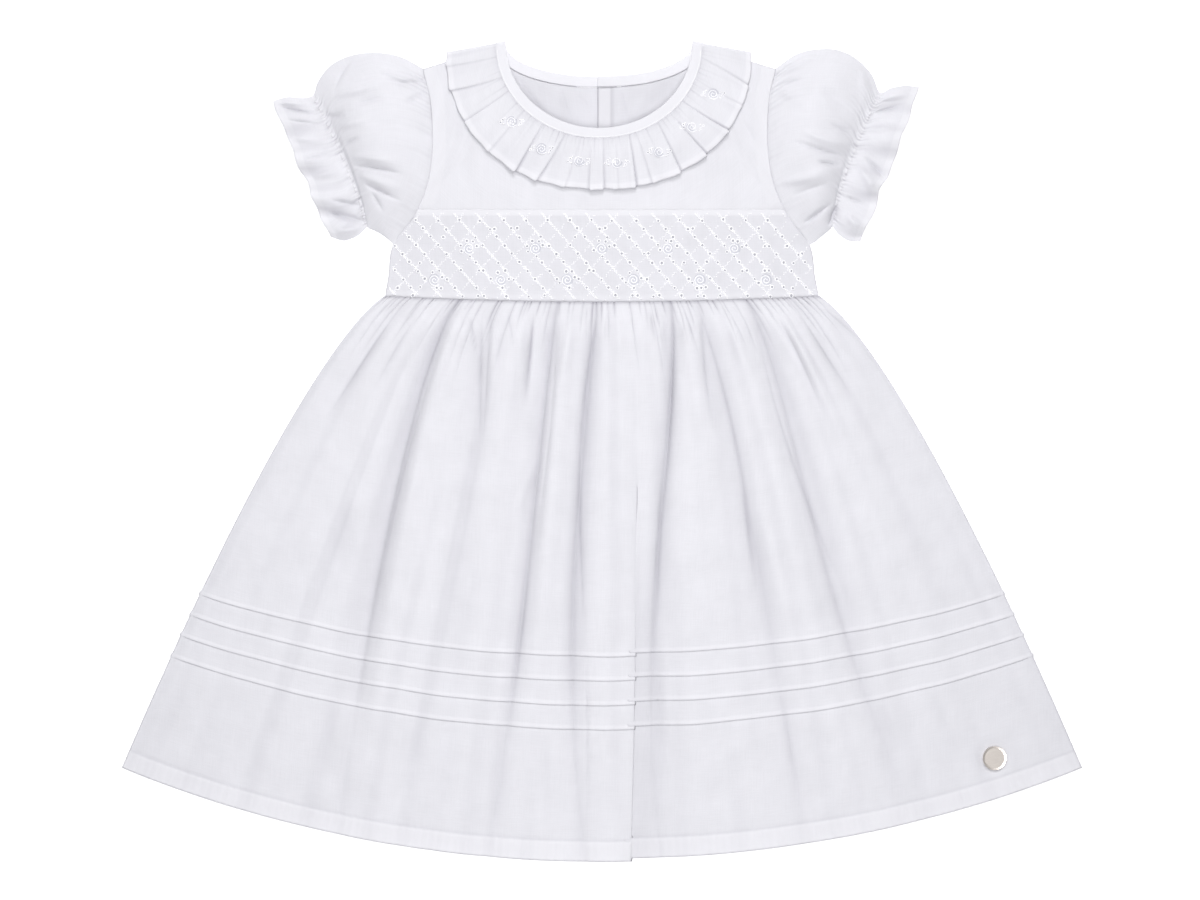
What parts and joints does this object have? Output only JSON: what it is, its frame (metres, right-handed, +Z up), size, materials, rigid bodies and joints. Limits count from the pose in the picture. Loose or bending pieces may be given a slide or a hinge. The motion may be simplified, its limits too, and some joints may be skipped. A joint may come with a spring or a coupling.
{
  "type": "toddler dress",
  "caption": "White cotton toddler dress with short puffed sleeves, a frilled neck, an eyelet waistband and a gathered skirt with pin tucks, laid flat.",
  "frame": {"origin": "middle of the dress's outline, on the surface it lies on", "axes": "+Z up off the surface, out of the dress's front; +Y towards the neck; +X to the wearer's left, across the dress"},
  "size_m": [0.5772, 0.4932, 0.0155],
  "materials": {
    "white_cotton": "matte",
    "white_embroidery": "matte",
    "pearl_button": "glossy",
    "brushed_metal": "brushed"
  },
  "bodies": {
    "root": {"front_yoke": "white_cotton", "back_bodice_left": "white_cotton", "back_bodice_right": "white_cotton", "neck_binding": "white_cotton", "collar_ruffle": "white_cotton", "front_skirt": "white_cotton", "back_skirt": "white_cotton", "sleeve_left": "white_cotton", "sleeve_right": "white_cotton", "embroidered_band": "white_embroidery", "back_button_1": "pearl_button", "back_button_2": "pearl_button", "back_button_3": "pearl_button", "back_button_4": "pearl_button", "hem_disc": "brushed_metal"}
  },
  "joints": []
}
